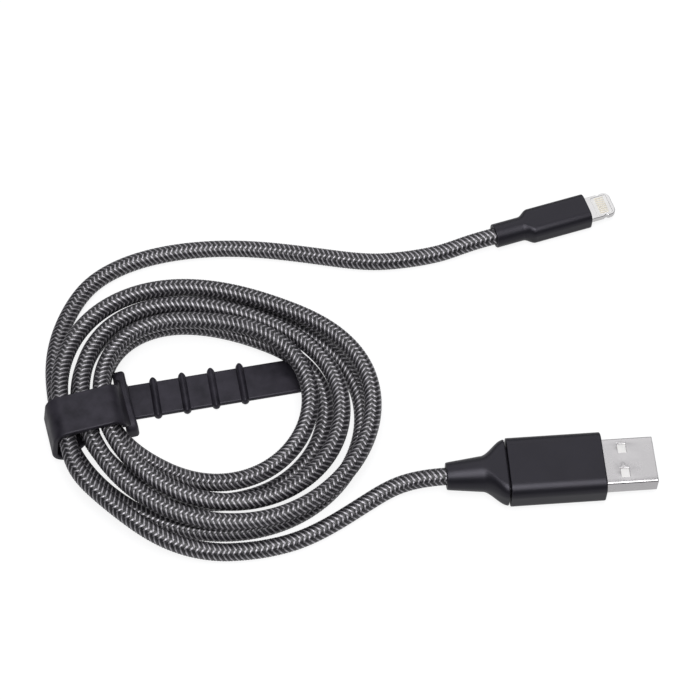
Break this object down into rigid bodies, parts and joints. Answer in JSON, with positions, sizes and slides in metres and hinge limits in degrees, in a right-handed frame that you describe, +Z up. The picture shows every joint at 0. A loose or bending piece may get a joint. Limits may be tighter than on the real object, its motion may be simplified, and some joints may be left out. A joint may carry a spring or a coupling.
{
  "type": "charging cable",
  "caption": "Braided charging cable wound in a flat coil and held by a ribbed rubber strap, with a type A plug at one end and a small phone plug at the other",
  "frame": {"origin": "On the table under the middle of the whole cable's bounding box", "axes": "+Z is up from the table, +X is the way both plugs point, +Y is the phone plug's side"},
  "size_m": [0.1444, 0.1013, 0.0122],
  "materials": {
    "dark_plastic": "satin, fine moulded grain",
    "cord_braid": "woven braid of black and grey yarns",
    "strap_rubber": "matt, slightly worn",
    "shell_steel": "bright nickel plate",
    "white_plastic": "moulded, smooth",
    "mould_plastic": "low-pressure moulding, matt",
    "contact_gold": "thin gold plate",
    "solder_tin": "smooth, bright",
    "wire_cover": "smooth insulation",
    "board_green": "lacquered",
    "chip_black": "moulded epoxy",
    "can_tin": "tinned sheet"
  },
  "bodies": {
    "cable": {"type_a_shell": "shell_steel", "type_a_tongue": "white_plastic", "type_a_contacts": "contact_gold", "type_a_solder": "solder_tin", "type_a_wires": "wire_cover", "type_a_inner_mould": "mould_plastic", "type_a_crimp_collar": "can_tin", "type_a_cord_end": "cord_braid", "type_a_housing": "dark_plastic", "type_a_boot": "dark_plastic", "phone_tab_frame": "shell_steel", "phone_tab_insert": "white_plastic", "phone_contacts": "contact_gold", "phone_board": "board_green", "phone_chips": "chip_black", "phone_shield_can": "can_tin", "phone_inner_mould": "mould_plastic", "phone_wires": "wire_cover", "phone_crimp_collar": "can_tin", "phone_cord_end": "cord_braid", "phone_housing": "dark_plastic", "phone_lead": "cord_braid", "cord_coil": "cord_braid", "type_a_lead": "cord_braid", "strap_loop": "strap_rubber"},
    "tail": {"strap_tail": "strap_rubber"}
  },
  "joints": [
    {"name": "tail_pull", "type": "slide", "parent": "cable", "child": "tail", "axis": [0.9821, 0.1881, 0], "range_m": [0, 0.004]}
  ]
}
